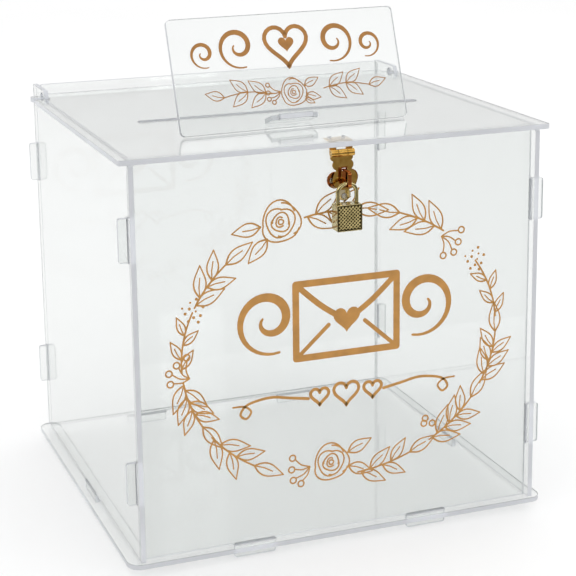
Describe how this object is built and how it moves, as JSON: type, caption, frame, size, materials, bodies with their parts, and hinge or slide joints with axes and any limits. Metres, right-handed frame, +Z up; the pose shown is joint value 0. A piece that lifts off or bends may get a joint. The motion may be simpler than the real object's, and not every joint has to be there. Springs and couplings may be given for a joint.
{
  "type": "card box with hinged lid and padlock",
  "caption": "Clear tab-and-slot card box with a hinged lid, a card slot, a hasp with a small padlock, and a leaning sign on its lid.",
  "frame": {"origin": "centre of the whole object's footprint, on the surface that the bottom tabs stand on", "axes": "+Z up, +X to the right as seen from the front, -Y towards the front with the hasp and padlock"},
  "size_m": [0.2683, 0.251, 0.3138],
  "materials": {
    "acrylic": "clear polished sheet, laser-cut edges",
    "gold": "bright gold-coloured plating",
    "copper": "polished copper-coloured plating",
    "antique_brass": "antique brass, darker in the hollows",
    "steel": "bright steel"
  },
  "bodies": {
    "box": {"base_plate": "acrylic", "front_panel": "acrylic", "back_panel": "acrylic", "left_side_panel": "acrylic", "right_side_panel": "acrylic", "staple_plate": "copper", "staple_loop": "copper", "staple_screw_left": "steel", "staple_screw_right": "steel", "staple_screw_bottom": "steel", "staple_nut_left": "steel", "staple_nut_right": "steel", "staple_nut_bottom": "steel"},
    "lid": {"lid_panel": "acrylic", "hasp_leaf": "gold", "hasp_pin": "gold", "hasp_screw_left": "steel", "hasp_screw_right": "steel"},
    "strap": {"hasp_strap": "gold"},
    "shackle": {"padlock_shackle": "antique_brass"},
    "padlock_case": {"padlock_case": "antique_brass"},
    "key_plug": {"padlock_key_plug": "antique_brass"},
    "sign": {"sign_plate": "acrylic", "sign_foot": "acrylic"}
  },
  "joints": [
    {"name": "padlock_off", "type": "slide", "parent": "box", "child": "shackle", "axis": [0, -1, 0], "range_m": [0, 0.058]},
    {"name": "hasp_swing", "type": "hinge", "parent": "lid", "child": "strap", "pos_m": [-0.0004, -0.1171, 0.2399], "axis": [-1, 0, 0], "range_deg": [0, 100]},
    {"name": "lid_tilt", "type": "hinge", "parent": "box", "child": "lid", "pos_m": [0, 0.097, 0.2463], "axis": [-1, 0, 0], "range_deg": [0, 130]},
    {"name": "case_drop", "type": "slide", "parent": "shackle", "child": "padlock_case", "axis": [0, 0, -1], "range_m": [0, 0.0055]},
    {"name": "key_turn", "type": "hinge", "parent": "padlock_case", "child": "key_plug", "pos_m": [0.0007, -0.1215, 0.1979], "axis": [0, 0, 1], "range_deg": [0, 90]},
    {"name": "sign_off", "type": "slide", "parent": "lid", "child": "sign", "axis": [0, 0, 1], "range_m": [0, 0.08]}
  ],
  "couplings": [
    {"joint": "hasp_swing", "follows": "padlock_off", "rad_per_m": 30}
  ]
}
